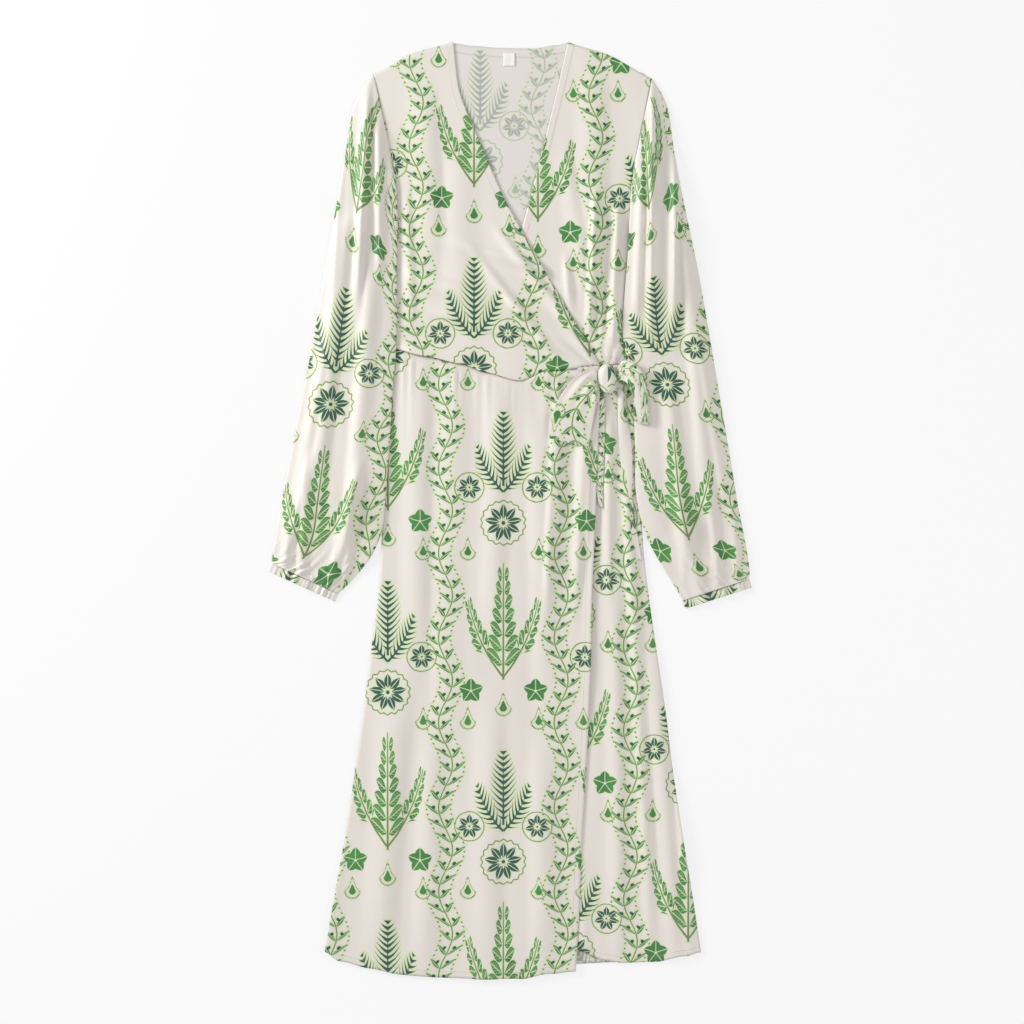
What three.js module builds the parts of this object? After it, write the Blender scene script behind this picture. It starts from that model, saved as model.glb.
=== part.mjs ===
// A midi wrap dress in printed satin viscose, lying flat on its back with its sleeves beside the body.
// Millimetres. +X is to the right of someone looking down on it, +Y runs to the neck, and +Z comes up off
// the surface that it lies on. The origin is the middle of its footprint, on that surface.
// "Right" and "left" in a sleeve's or cuff's name are the wearer's; in a loop's or tail's, the viewer's.
import * as THREE from 'three';

// ---- driving dimensions ------------------------------------------------------------------------------
const wall = 1.2;             // a panel's cloth wall
const cuffWall = 1.5;         // cloth and elastic together
const seamGap = 0.3;          // clearance between two sewn pieces
const seatGap = 0.6;          // clearance below what only lies on the body
const cuffDepth = 11;         // height of the elastic casings
const tieWall = 1.0;          // the tie, one layer
const labelSize = { width: 15, height: 17, thickness: 1.0, x: -2.5, y: 584 };
const knot = { x: 125, y: 169, halfWidth: 11.5, halfHeight: 19, halfDepth: 6.5 };

// Heights of the stacked layers' under faces.
const backLevel = 0;
const underLevel = backLevel + wall + seamGap;
const overLevel = underLevel + wall + seamGap;
const frontTop = underLevel + wall;
const sleeveSeat = frontTop + seatGap;

// Where a layer climbs onto the next: distances inside the hidden edge or the body's side.
const overClimb = { from: -42, to: -8 };
const sleeveClimb = { from: -38, to: -9, reach: 18 };
const armhole = { under: 420, over: 450 };     // heights between which the sleeve comes down to its seam

// A fold rises over its first quarter and sinks to less than half over its last fifth.
const foldRise = 0.25;
const foldFall = { from: 0.8, by: 0.6 };
const loopCrown = 0.2;        // how much of a loop's height is its crown across the band
const loopTurn = 1.6;         // how far a loop's turned end stands out, in walls of the tie
const loopOnSleeve = 1.6;     // clearance of the right loop over the sleeve's edge
const cuffLoft = 0.2;

// ---- tables --------------------------------------------------------------------------------------------
// A table's first argument names its columns, and each row is one section, edge point or fold.
const table = (columns, rows) =>
  rows.map((row) => Object.fromEntries(columns.split(' ').map((name, k) => [name, row[k]])));

// Both ends of each section across a panel, from the shoulder or waist downwards.
const acrossColumns = 'leftX leftY rightX rightY';

// The side of the body: shoulder point, visible armhole, the hollow of the armhole under the sleeve,
// the underarm point and the side seam. The two sides differ a little, as the dress lies.
const bodySide = table(acrossColumns, [
  [-178, 565, 183, 559],      // shoulder points
  [-165.5, 503, 171, 500],
  [-155, 450, 162, 452],      // where the sleeve starts to lie on the body
  [-151, 413, 157, 413],
  [-170, 378, 174, 380],
  [-205, 340, 207, 340],      // underarm points
  [-192, 290, 194, 290],
  [-176, 248, 180, 244],
  [-164, 211, 168, 190],      // ends of the waist seam
]);

// The crossed front edges, one point for each section above. The last three of the under edge are hidden.
const overEdge = table('x y', [
  [-75, 607], [-67, 543], [-51, 502], [-31, 454], [-9, 404], [15, 360], [43, 311], [79, 250], [116, 186],
]);
const underEdge = table('x y', [
  [74, 607], [60, 545], [47, 492], [36, 448], [26, 409], [13, 362], [-8, 305], [-30, 250], [-52, 192],
]);

// How far an edge leaves the straight line between its two ends, by share of the way along it.
const backTop = table('at off', [
  [0, 0], [0.14, 27], [0.23, 37], [0.285, 42], [0.36, 39], [0.45, 37], [0.57, 37], [0.66, 42],
  [0.7, 45], [0.79, 33], [0.88, 20], [0.96, 8], [1, 0],
]);
const shoulderRise = table('at off', [[0, 0], [0.5, 6], [1, 0]]);
const backWaist = table('at off', [[0, 0], [0.5, -12], [1, 0]]);
const underWaist = table('at off', [[0, 0], [0.6, -8], [1, 0]]);
const overWaist = table('at off', [
  [0, 0], [0.19, -8], [0.36, -14], [0.47, -22], [0.62, -29], [0.76, -13], [1, 0],
]);
const backHem = table('at off', [[0, 0], [0.15, -14], [0.45, -22], [0.8, -13], [1, 0]]);
const overHem = table('at off', [
  [0, 0], [0.06, -11], [0.18, -17], [0.3, -22], [0.42, -22], [0.6, -20], [0.78, -15], [0.9, -5], [1, 0],
]);
const underHem = table('at off', [
  [0, 0], [0.46, 0], [0.59, -12], [0.66, -15], [0.8, -13], [0.93, -5], [1, 0],
]);

// The skirt's side seams and the wrap edge, a row about every 80 mm down from the waist seam.
const skirtSide = table(acrossColumns, [
  [-164, 211, 168, 190],
  [-168, 130, 167, 110],
  [-169, 50, 168, 30],
  [-168, -30, 172, -50],
  [-171, -100, 180, -120],
  [-180, -170, 190, -190],
  [-190, -250, 201, -265],
  [-202, -335, 211, -345],
  [-214, -415, 223, -425],
  [-228, -495, 236, -505],
  [-242, -575, 247, -576],
]);
const wrapEdge = table('x y', [
  [116, 186], [114, 110], [111, 30], [108, -50], [105, -120], [104, -190], [101, -270], [97, -350],
  [92, -435], [89, -520], [84, -601],
]);
// The hidden edge of the skirt's under front: it starts at the waist seam and falls straight to the hem.
const underSkirtEdge = [
  { x: -52, y: 192 },
  ...skirtSide.slice(1).map(({ rightY }) => ({ x: -50, y: rightY - 4 })),
];

// The sleeves' folded edges: the outer one faces away from the body, the inner one lies on it. The first
// row runs down the armhole seam, and the last is where the elastic casing is sewn on.
const sleeveColumns = 'outerX outerY innerX innerY loft';
const leftSleeve = table(sleeveColumns, [
  [-178.5, 566, -155.5, 452, 0.3],
  [-203, 526, -152.5, 420, 0.8],
  [-214, 470, -149, 375, 1.2],
  [-227, 395, -148, 320, 1.2],
  [-241, 315, -148, 262, 1.2],
  [-254, 237, -149, 210, 1.2],
  [-269, 158, -154, 145, 1.2],
  [-285, 77, -158, 80, 1.2],
  [-299, 5, -163, 14, 1.2],
  [-305, -32, -168, -30, 1.2],
  [-309, -54, -182, -62, 1.2],
  [-310.5, -66, -204, -90, 0.9],
  [-310, -71, -224, -110, 0.3],
]);
const rightSleeve = table(sleeveColumns, [
  [183.5, 560, 163, 454, 0.3],
  [202, 526, 160, 421, 0.8],
  [212, 466, 156, 380, 1.2],
  [226, 392, 151, 325, 1.2],
  [243, 311, 147, 275, 1.2],
  [256, 237, 145, 228, 1.2],
  [269, 160, 157, 160, 1.2],
  [283, 78, 161, 82, 1.2],
  [295, 5, 163, 14, 1.2],
  [304, -40, 176, -36, 1.2],
  [308, -64, 194, -70, 1.2],
  [310, -80, 211, -98, 0.9],
  [309.5, -91, 223, -119, 0.3],
]);

// Soft folds: a centre line from one point to another, its half width and how high it stands.
const foldColumns = 'fromX fromY toX toY halfWidth height';
const bodiceFolds = {
  over: table(foldColumns, [
    [-120, 540, -105, 330, 26, 2.5],
    [-95, 330, 60, 235, 22, 3.0],    // drawn towards the knot
    [-60, 280, 88, 212, 16, 2.5],
    [-110, 400, -100, 225, 24, 2.5],
  ]),
  under: table(foldColumns, [
    [110, 540, 112, 330, 24, 3.0],
    [75, 430, 96, 260, 18, 2.5],
    [134, 330, 129, 215, 11, 4.5],   // gathered above the knot
  ]),
};
const skirtFolds = {
  over: table(foldColumns, [
    [-120, 170, -128, -230, 22, 3.0],
    [-70, 140, -80, -330, 24, 2.5],
    [-15, 130, -22, -200, 22, 3.0],
    [45, 60, 52, -300, 24, 3.5],
    [-150, -250, -172, -590, 26, 4.0],
    [-95, -300, -108, -600, 24, 3.0],
    [-25, -260, -30, -605, 26, 3.5],
    [45, -330, 48, -600, 24, 4.0],
  ]),
  under: table(foldColumns, [
    [131, -100, 138, -590, 15, 3.5],
    [170, -110, 196, -590, 20, 5.0],
  ]),
};
const sleeveFolds = {
  left: table(foldColumns, [
    [-188, 520, -186, 330, 14, 4.0],
    [-215, 400, -262, -20, 20, 4.0],
    [-178, 300, -215, -60, 22, 3.5],
    [-283, -20, -292, -75, 10, 4.0],
    [-246, -30, -262, -88, 10, 4.0],
    [-210, -20, -238, -102, 9, 3.5],
  ]),
  right: table(foldColumns, [
    [186, 520, 186, 220, 12, 5.0],
    [228, 360, 262, -20, 20, 4.0],
    [196, 120, 228, -60, 20, 3.5],
    [290, -20, 294, -92, 10, 4.0],
    [250, -30, 268, -102, 10, 4.0],
    [212, -40, 244, -108, 9, 3.5],
  ]),
};

// The bow. A loop's rows run from the knot to its turned end, and the band comes back beneath them.
const bandColumns = 'leftX leftY rightX rightY lift';
const leftLoop = table(bandColumns, [
  [110, 182, 112, 160, 3],
  [92, 177, 111, 152, 6],
  [72, 158, 110, 137, 8],
  [56, 130, 107, 117, 8],
  [50, 104, 103, 94, 6],
  [50, 92, 99, 79, 3],
]);
const rightLoop = table(bandColumns, [
  [138, 166, 138, 183, 3],
  [144, 167, 145, 192, 5],
  [151, 162, 157, 190, 6],
  [156, 151, 169, 178, 6],
  [160, 137, 175, 156, 6],
  [163, 122, 178, 130, 5],
  [165, 111, 180, 109, 3],
]);
const leftTail = table(bandColumns, [
  [108, 133, 122, 146, 0],
  [107, 104, 122, 104, 0],
  [107, 64, 121, 64, 0],
  [109, 35, 120, 35, 0],
  [114, 6, 119, 0, 0],
]);
const rightTail = table(bandColumns, [
  [138, 158, 149, 151, 0],
  [139, 112, 153, 110, 0],
  [141, 75, 157, 78, 0],
  [144, 45, 158, 47, 0],
  [148, 0, 159, 2, 0],
  [153, -45, 166, -44, 0],
  [156, -66, 170, -66, 0],
]);

// ---- arithmetic --------------------------------------------------------------------------------------
const clamp01 = (value) => Math.min(1, Math.max(0, value));
const smooth = (from, to, value) => {
  const share = clamp01((value - from) / (to - from));
  return share * share * (3 - 2 * share);
};
const mix = (a, b, share) => a + (b - a) * share;

// A smooth curve through one pair of columns; at(share) counts the rows evenly.
function curveThrough(rows, xName, yName) {
  const points = rows.map((row) => new THREE.Vector3(row[xName], row[yName], 0));
  const curve = new THREE.CatmullRomCurve3(points, false, 'centripetal');
  return (share) => curve.getPoint(clamp01(share));
}

// One column of a table, read smoothly between its rows.
function columnAt(rows, argument, name, value) {
  const last = rows.length - 1;
  const next = Math.min(last, Math.max(1, rows.findIndex((row) => row[argument] >= value)));
  const share = smooth(rows[next - 1][argument], rows[next][argument], value);
  return mix(rows[next - 1][name], rows[next][name], share);
}

function foldHeight(folds, x, y) {
  return folds.reduce((sum, fold) => {
    const run = new THREE.Vector2(fold.toX - fold.fromX, fold.toY - fold.fromY);
    const arm = new THREE.Vector2(x - fold.fromX, y - fold.fromY);
    const share = clamp01(arm.dot(run) / run.lengthSq());
    const away = arm.sub(run.multiplyScalar(share)).length() / fold.halfWidth;
    if (away >= 1) return sum;
    const ends = smooth(0, foldRise, share) * (1 - smooth(foldFall.from, 1, share) * foldFall.by);
    return sum + fold.height * ends * (1 - away * away) ** 2;
  }, 0);
}

// The x of a body side at a height y below the armhole, for what lies across it.
const trackSteps = 60;
const trackStart = 0.3;       // share of the bodice's side at which the sleeve starts to lie on it
const sideTracks = Object.fromEntries(['left', 'right'].map((side) => {
  const bodice = curveThrough(bodySide, `${side}X`, `${side}Y`);
  const skirt = curveThrough(skirtSide, `${side}X`, `${side}Y`);
  const steps = Array.from({ length: trackSteps + 1 }, (_, k) => k / trackSteps);
  const belowArmhole = steps.filter((share) => share >= trackStart);
  return [side, [...belowArmhole.map(bodice), ...steps.slice(1).map(skirt)]];
}));
function sideX(side, y) {
  const track = sideTracks[side];
  const next = Math.max(1, track.findIndex((point) => point.y < y));
  const share = (track[next - 1].y - y) / (track[next - 1].y - track[next].y);
  return mix(track[next - 1].x, track[next].x, clamp01(share));
}

// ---- solids --------------------------------------------------------------------------------------------
// Joins two grids of points, top and under, into one closed wall. Where round is true the columns close
// on themselves and make a tube; otherwise the wall is closed along both sides too.
function closedWall(top, under, round = false) {
  const rows = top.length;
  const columns = top[0].length;
  const points = [...top.flat(), ...under.flat()];
  const upper = (j, i) => j * columns + (i % columns);
  const lower = (j, i) => rows * columns + upper(j, i);
  const triangles = [];
  const quad = (a, b, c, d) => triangles.push(a, b, c, a, c, d);
  const spans = round ? columns : columns - 1;
  for (let j = 0; j < rows - 1; j += 1) {
    for (let i = 0; i < spans; i += 1) {
      quad(upper(j, i), upper(j + 1, i), upper(j + 1, i + 1), upper(j, i + 1));
      quad(lower(j, i), lower(j, i + 1), lower(j + 1, i + 1), lower(j + 1, i));
    }
    if (!round) {
      quad(upper(j, 0), lower(j, 0), lower(j + 1, 0), upper(j + 1, 0));
      quad(upper(j, spans), upper(j + 1, spans), lower(j + 1, spans), lower(j, spans));
    }
  }
  for (let i = 0; i < spans; i += 1) {
    const end = rows - 1;
    quad(upper(0, i), upper(0, i + 1), lower(0, i + 1), lower(0, i));
    quad(upper(end, i), lower(end, i), lower(end, i + 1), upper(end, i + 1));
  }
  const geometry = new THREE.BufferGeometry().setFromPoints(points);
  geometry.setIndex(triangles);
  geometry.computeVertexNormals();
  return geometry;
}

// A panel between two side curves, with the departures of its top and bottom edges blended down it.
// level(x, y) is its under face, and folds stand up from that.
function panel({ left, right, topOff, bottomOff, drop = 0, level, folds = [], columns, rows }) {
  const top = [];
  const under = [];
  for (let j = 0; j <= rows; j += 1) {
    const down = j / rows;
    const from = left(down);
    const to = right(down);
    const topRow = [];
    const underRow = [];
    for (let i = 0; i <= columns; i += 1) {
      const across = i / columns;
      const off = mix(columnAt(topOff, 'at', 'off', across), columnAt(bottomOff, 'at', 'off', across), down);
      const x = mix(from.x, to.x, across);
      const y = mix(from.y, to.y, across) + off - (1 - down) * drop;
      const z = level(x, y) + foldHeight(folds, x, y);
      topRow.push(new THREE.Vector3(x, y, z + wall));
      underRow.push(new THREE.Vector3(x, y, z));
    }
    top.push(topRow);
    under.push(underRow);
  }
  return closedWall(top, under);
}

// A flattened tube from section to section, open at both ends: an upper and a lower wall that meet in a
// soft fold at the outer and the inner edge.
function flatTube({ rows, steps, across, thickness, seat, folds, loftAt }) {
  const outerEdge = curveThrough(rows, 'outerX', 'outerY');
  const innerEdge = curveThrough(rows, 'innerX', 'innerY');
  const skin = [];
  const lining = [];
  const deep = 2 * thickness + seamGap;
  for (let j = 0; j <= steps; j += 1) {
    const down = j / steps;
    const outer = outerEdge(down);
    const inner = innerEdge(down);
    const width = outer.distanceTo(inner);
    const loft = loftAt(down);
    const skinRing = [];
    const liningRing = [];
    const ringPoint = (share, z) => {
      const { x, y } = inner.clone().lerp(outer, share);
      return new THREE.Vector3(x, y, z);
    };
    for (let i = 0; i < 2 * across; i += 1) {
      const share = (1 - Math.cos((Math.PI * i) / across)) / 2;
      const inset = mix(thickness / width, 1 - thickness / width, share);
      const { x, y } = ringPoint(share, 0);
      const floor = seat(x, y);
      const upperSide = i < across;
      const atEdge = i % across === 0;
      const lift = (loft + foldHeight(folds, x, y)) * Math.sin(Math.PI * share);
      const skinZ = atEdge ? deep / 2 : upperSide ? deep + lift : 0;
      const liningZ = atEdge ? deep / 2 : upperSide ? deep + lift - thickness : thickness;
      skinRing.push(ringPoint(share, floor + skinZ));
      liningRing.push(ringPoint(inset, floor + liningZ));
    }
    skin.push(skinRing);
    lining.push(liningRing);
  }
  return { skin, lining };
}

// A band of cloth through rows of points, thickened both ways along its normals.
function bandWall(rows, thickness) {
  const between = (points, k) => new THREE.Vector3().subVectors(
    points[Math.min(k + 1, points.length - 1)],
    points[Math.max(k - 1, 0)],
  );
  const offset = (amount) => rows.map((row, j) => row.map((point, i) => {
    const along = between(rows.map((other) => other[i]), j);
    const normal = new THREE.Vector3().crossVectors(between(row, i), along).normalize();
    return point.clone().addScaledVector(normal, -amount);
  }));
  return closedWall(offset(thickness / 2), offset(-thickness / 2));
}

// ---- levels of the layers ------------------------------------------------------------------------------
const onBack = () => underLevel;

// The over panels rise from the back onto the under panels, whose hidden edge is at edgeX.
const overUnderPanel = (edgeX) => (x, y) => {
  const climb = smooth(overClimb.from, overClimb.to, x - edgeX(y));
  return mix(underLevel, overLevel, climb);
};
const hiddenBodiceX = (y) => columnAt([...underEdge].reverse(), 'y', 'x', y);
const hiddenSkirtX = () => underSkirtEdge[0].x;

// A sleeve lies on the table outside the body and climbs onto the body's side below the armhole.
const sleeveLevel = (side, sign) => (x, y) => {
  const { from, to, reach } = sleeveClimb;
  const widest = Math.max(...[-reach, 0, reach].map((step) => sign * sideX(side, y + step)));
  const inside = widest - sign * x;
  return sleeveSeat * smooth(from, to, inside) * (1 - smooth(armhole.under, armhole.over, y));
};

// ---- pieces ----------------------------------------------------------------------------------------------
const ivory = 0xebe4dc;
const shadeIvory = 0xdfd6cb;

const dress = new THREE.Group();
function addPiece(name, geometry, color = ivory) {
  const material = new THREE.MeshStandardMaterial({ color, roughness: 0.55, metalness: 0 });
  const mesh = new THREE.Mesh(geometry, material);
  mesh.name = name;
  dress.add(mesh);
}

const bodyLeft = curveThrough(bodySide, 'leftX', 'leftY');
const bodyRight = curveThrough(bodySide, 'rightX', 'rightY');
const skirtLeft = curveThrough(skirtSide, 'leftX', 'leftY');
const skirtRight = curveThrough(skirtSide, 'rightX', 'rightY');

addPiece('back_bodice', panel({
  left: bodyLeft, right: bodyRight, topOff: backTop, bottomOff: backWaist,
  level: () => backLevel, columns: 18, rows: 11,
}), shadeIvory);

addPiece('back_skirt', panel({
  left: skirtLeft, right: skirtRight, topOff: backWaist, bottomOff: backHem,
  drop: seamGap, level: () => backLevel, columns: 18, rows: 8,
}), shadeIvory);

addPiece('front_bodice_under', panel({
  left: curveThrough(underEdge, 'x', 'y'), right: bodyRight, topOff: shoulderRise, bottomOff: underWaist,
  level: onBack, folds: bodiceFolds.under, columns: 12, rows: 18,
}));

addPiece('front_bodice_over', panel({
  left: bodyLeft, right: curveThrough(overEdge, 'x', 'y'), topOff: shoulderRise, bottomOff: overWaist,
  level: overUnderPanel(hiddenBodiceX), folds: bodiceFolds.over, columns: 16, rows: 16,
}));

addPiece('front_skirt_under', panel({
  left: curveThrough(underSkirtEdge, 'x', 'y'), right: skirtRight, topOff: underWaist, bottomOff: underHem,
  drop: seamGap, level: onBack, folds: skirtFolds.under, columns: 12, rows: 16,
}));

addPiece('front_skirt_over', panel({
  left: skirtLeft, right: curveThrough(wrapEdge, 'x', 'y'), topOff: overWaist, bottomOff: overHem,
  drop: seamGap, level: overUnderPanel(hiddenSkirtX), folds: skirtFolds.over, columns: 16, rows: 16,
}));

// A casing hangs on below a sleeve's last section, as deep as cuffDepth, square to that section.
function cuffRows(rows) {
  const end = rows[rows.length - 1];
  const run = new THREE.Vector2(end.innerX - end.outerX, end.innerY - end.outerY).normalize();
  const downward = new THREE.Vector2(run.y, -run.x).multiplyScalar(Math.sign(run.x));
  return [seamGap, seamGap + cuffDepth / 2, seamGap + cuffDepth].map((reach) => ({
    outerX: end.outerX + downward.x * reach,
    outerY: end.outerY + downward.y * reach,
    innerX: end.innerX + downward.x * reach,
    innerY: end.innerY + downward.y * reach,
  }));
}

const sleeves = [
  { wearer: 'right', rows: leftSleeve, side: 'left', sign: -1 },
  { wearer: 'left', rows: rightSleeve, side: 'right', sign: 1 },
];
for (const { wearer, rows, side, sign } of sleeves) {
  const last = rows.length - 1;
  const loftAt = (down) => {
    const row = Math.min(last - 1, Math.floor(down * last));
    return mix(rows[row].loft, rows[row + 1].loft, down * last - row);
  };
  const sleeve = flatTube({
    rows, steps: 16, across: 9, thickness: wall, seat: sleeveLevel(side, sign),
    folds: sleeveFolds[side], loftAt,
  });
  const cuff = flatTube({
    rows: cuffRows(rows), steps: 2, across: 9, thickness: cuffWall, seat: () => 0,
    folds: [], loftAt: () => cuffLoft,
  });
  const turn = (ring) => (sign > 0 ? ring : [...ring].reverse());
  addPiece(`sleeve_${wearer}`, closedWall(sleeve.skin.map(turn), sleeve.lining.map(turn), true));
  addPiece(`cuff_${wearer}`, closedWall(cuff.skin.map(turn), cuff.lining.map(turn), true), shadeIvory);
}

// ---- the bow -----------------------------------------------------------------------------------------------
const bowAcross = 4;

// One pass of a band, at a height above the surface z.
function bandPass(rows, steps, heightAt) {
  const left = curveThrough(rows, 'leftX', 'leftY');
  const right = curveThrough(rows, 'rightX', 'rightY');
  return Array.from({ length: steps + 1 }, (_, j) => {
    const down = j / steps;
    const from = left(down);
    const to = right(down);
    return Array.from({ length: bowAcross + 1 }, (__, i) => {
      const share = i / bowAcross;
      return new THREE.Vector3(mix(from.x, to.x, share), mix(from.y, to.y, share), heightAt(down, share));
    });
  });
}

// A loop: out along the upper pass, round its end, and back along the lower pass.
function loopWall(rows, seatAt, steps) {
  const last = rows.length - 1;
  const liftAt = (down) => {
    const row = Math.min(last - 1, Math.floor(down * last));
    return mix(rows[row].lift, rows[row + 1].lift, down * last - row);
  };
  const lower = bandPass(rows, steps, (down) => seatAt(down) + tieWall / 2);
  const upper = bandPass(rows, steps, (down, share) => {
    const crown = 1 - loopCrown + loopCrown * Math.sin(Math.PI * share);
    return seatAt(down) + tieWall / 2 + liftAt(down) * crown;
  });
  const turned = upper[steps].map((point, i) => {
    const along = new THREE.Vector3().subVectors(upper[steps][i], upper[steps - 1][i]).setZ(0).normalize();
    return point.clone().lerp(lower[steps][i], 0.5).addScaledVector(along, tieWall * loopTurn);
  });
  return bandWall([...upper, turned, ...lower.reverse()], tieWall);
}

// What each stretch of the tie lies on: the over skirt, the under panels or the sleeve's inner edge.
const onOver = overLevel + wall + seamGap;
const onUnder = frontTop + seamGap;
const onSleeve = sleeveSeat + 2 * wall + seamGap + loopOnSleeve;
addPiece('tie_tail_left', bandWall(bandPass(leftTail, 8, () => onOver + tieWall / 2), tieWall));
addPiece('tie_tail_right', bandWall(bandPass(rightTail, 10, () => onUnder + tieWall / 2), tieWall));
addPiece('tie_loop_left', loopWall(leftLoop, () => onOver + tieWall + seamGap, 9));
addPiece('tie_loop_right', loopWall(rightLoop, (down) => mix(onOver, onSleeve, smooth(0, 0.5, down)), 10));

const knotBall = new THREE.SphereGeometry(1, 16, 10);
knotBall.scale(knot.halfWidth, knot.halfHeight, knot.halfDepth);
knotBall.translate(knot.x, knot.y, onUnder + knot.halfDepth);
addPiece('tie_knot', knotBall);

// ---- the size tab, bare, inside the back neck ----------------------------------------------------------------
const tab = new THREE.BoxGeometry(labelSize.width, labelSize.height, labelSize.thickness);
tab.translate(labelSize.x, labelSize.y, backLevel + wall + seamGap + labelSize.thickness / 2);
addPiece('size_label', tab, 0xf7f6f4);

export default dress;
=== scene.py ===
# %% [markdown]
# # A printed wrap dress, laid flat
# The dress is sewn from satin viscose panels: two backs, four crossing fronts, two bishop sleeves with
# elastic casings, and a tie. Each panel here is one fine grid of cloth, shaped by its own cut, then given
# the folds in which it lies, and last given a thickness. A simulation could settle such a dress, but its
# folds would land somewhere new; folds given one by one keep each crease where this dress has it.

# %% Load the imported model as the frame
import math
import bmesh
import bpy
import numpy as np
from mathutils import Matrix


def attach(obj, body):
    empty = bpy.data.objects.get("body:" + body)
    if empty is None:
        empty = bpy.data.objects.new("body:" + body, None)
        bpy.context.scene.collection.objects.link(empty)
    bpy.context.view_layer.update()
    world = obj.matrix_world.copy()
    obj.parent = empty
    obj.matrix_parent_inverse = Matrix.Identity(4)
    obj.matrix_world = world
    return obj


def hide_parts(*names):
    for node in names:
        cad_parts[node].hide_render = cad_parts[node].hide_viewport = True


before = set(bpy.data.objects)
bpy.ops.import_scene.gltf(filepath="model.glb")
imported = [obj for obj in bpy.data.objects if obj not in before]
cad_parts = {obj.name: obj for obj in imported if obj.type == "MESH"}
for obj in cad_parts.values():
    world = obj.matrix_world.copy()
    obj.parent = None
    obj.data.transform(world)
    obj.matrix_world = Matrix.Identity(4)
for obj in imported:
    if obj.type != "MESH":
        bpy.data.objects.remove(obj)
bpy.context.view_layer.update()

mm = 0.001

# %% [markdown]
# ## Camera and lamps
# The dress is seen from straight above, so the camera hangs over it with a long lens, which keeps the hem
# and the neck at one scale. The view across the floor is 1.331 m. A soft key lamp stands low at the upper
# left, to draw the folds, and a larger, weaker lamp fills from higher up at the lower right.

# %% Camera
view_width = 1.3312
lens = 100.0
sensor = 36.0
camera_data = bpy.data.cameras.new("overhead")
camera_data.lens = lens
camera_data.sensor_width = sensor
camera = bpy.data.objects.new("overhead", camera_data)
camera.location = (0.0013, -0.0039, view_width * lens / sensor)
bpy.context.scene.collection.objects.link(camera)
bpy.context.scene.camera = camera
bpy.context.scene.view_settings.view_transform = "Standard"
print("camera height", round(camera.location.z, 3))


# %% Lamps
def soft_lamp(name, place, size, power):
    """A square lamp that faces the middle of the dress."""
    data = bpy.data.lights.new(name, "AREA")
    data.shape = "SQUARE"
    data.size = size
    data.energy = power
    lamp = bpy.data.objects.new(name, data)
    lamp.location = place
    lamp.rotation_euler = lamp.location.to_track_quat("Z", "Y").to_euler()
    bpy.context.scene.collection.objects.link(lamp)


soft_lamp("key", (-2.7, 1.3, 1.25), 0.9, 70)
soft_lamp("fill", (1.9, -0.6, 2.2), 2.0, 16)
print("lamps", [(lamp.name, lamp.energy, "W") for lamp in bpy.data.lights])


# %% [markdown]
# ## Shader sums
# A print is drawn with arithmetic on the cloth's own measurements. Written as separate Math nodes that
# would be hundreds of lines, so one small class wraps a socket, and each + or * adds the node for it.

# %% A number that varies over a surface
def srgb(red, green, blue):
    """A colour written as 0 to 255, as the linear numbers that a shader takes."""
    def linear(value):
        share = value / 255
        return share / 12.92 if share <= 0.04045 else ((share + 0.055) / 1.055) ** 2.4
    return (linear(red), linear(green), linear(blue), 1.0)


class Field:
    """One output socket, with Python's sums on it. Each sum adds its node."""

    def __init__(self, tree, socket):
        self.tree = tree
        self.socket = socket

    def node(self, kind, settings=None, sockets=None, output=0):
        """Adds a node, makes its settings first, then sets or links its sockets."""
        node = self.tree.nodes.new(kind)
        for name, value in (settings or {}).items():
            setattr(node, name, value)
        for name, value in (sockets or {}).items():
            if isinstance(value, Field):
                self.tree.links.new(value.socket, node.inputs[name])
            else:
                node.inputs[name].default_value = value
        return Field(self.tree, node.outputs[output])

    def math(self, operation, *others, clamp=False):
        sockets = dict(enumerate((self, *others)))
        return self.node("ShaderNodeMath", {"operation": operation, "use_clamp": clamp}, sockets)

    def __add__(self, other):
        return self.math("ADD", other)

    def __sub__(self, other):
        return self.math("SUBTRACT", other)

    def __mul__(self, other):
        return self.math("MULTIPLY", other)

    def __truediv__(self, other):
        return self.math("DIVIDE", other)

    def __rsub__(self, other):
        return self.math("MULTIPLY_ADD", -1.0, other)

    def __abs__(self):
        return self.math("ABSOLUTE")

    def low(self, other):
        return self.math("MINIMUM", other)

    def high(self, other):
        return self.math("MAXIMUM", other)

    def wrap(self, period, start=0.0):
        """The distance to the nearest of a row of points, period apart."""
        return (self - start).math("WRAP", period / 2, -period / 2)

    def inside(self, soft=0.5):
        """1 where a distance is below nought, with an edge soft mm wide."""
        return self.math("MULTIPLY_ADD", -1.0 / soft, 0.5, clamp=True)

    def mixed(self, share, under, colour):
        """One colour laid over another. A colour Mix node's own sockets are numbers 0, 6 and 7."""
        return self.node("ShaderNodeMix", {"data_type": "RGBA"}, {0: share, 6: under, 7: colour}, output=2)

    def over(self, under, colour):
        """This mask lays a colour over another."""
        return self.mixed(self, under, colour)


def polar(x, y):
    """How far out a point is, and its angle from straight up."""
    out = (x * x + y * y).math("SQRT")
    return out, x.math("ARCTAN2", y)


# %% [markdown]
# ## The print
# The cloth is ivory with leafy branches, ferns, rosettes, buds and trailing vines in two greens. The
# motifs stand in columns 150 mm apart, every second column half a repeat lower. Each motif is a distance:
# below nought inside its shape. A branch's leaves are one leaf set again and again along a stem, so it
# costs no more nodes than a leaf. Distances of one colour are joined by the lower of them, and a pale
# halo is the same distance read a little further out.

# %% Petals, in mm
def petals(x, y, count, start, end, half_width):
    """Petals round a centre. Returns their distance, how far off a petal's middle, and how far out."""
    out, angle = polar(x, y)
    turn = angle * (count / (2 * math.pi))
    side = abs(turn - turn.math("ROUND")) * out * (2 * math.pi / count)
    reach = (out - start) * (1.0 / (end - start))
    return side - reach * (1.0 - reach) * (4 * half_width), side, out


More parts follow.
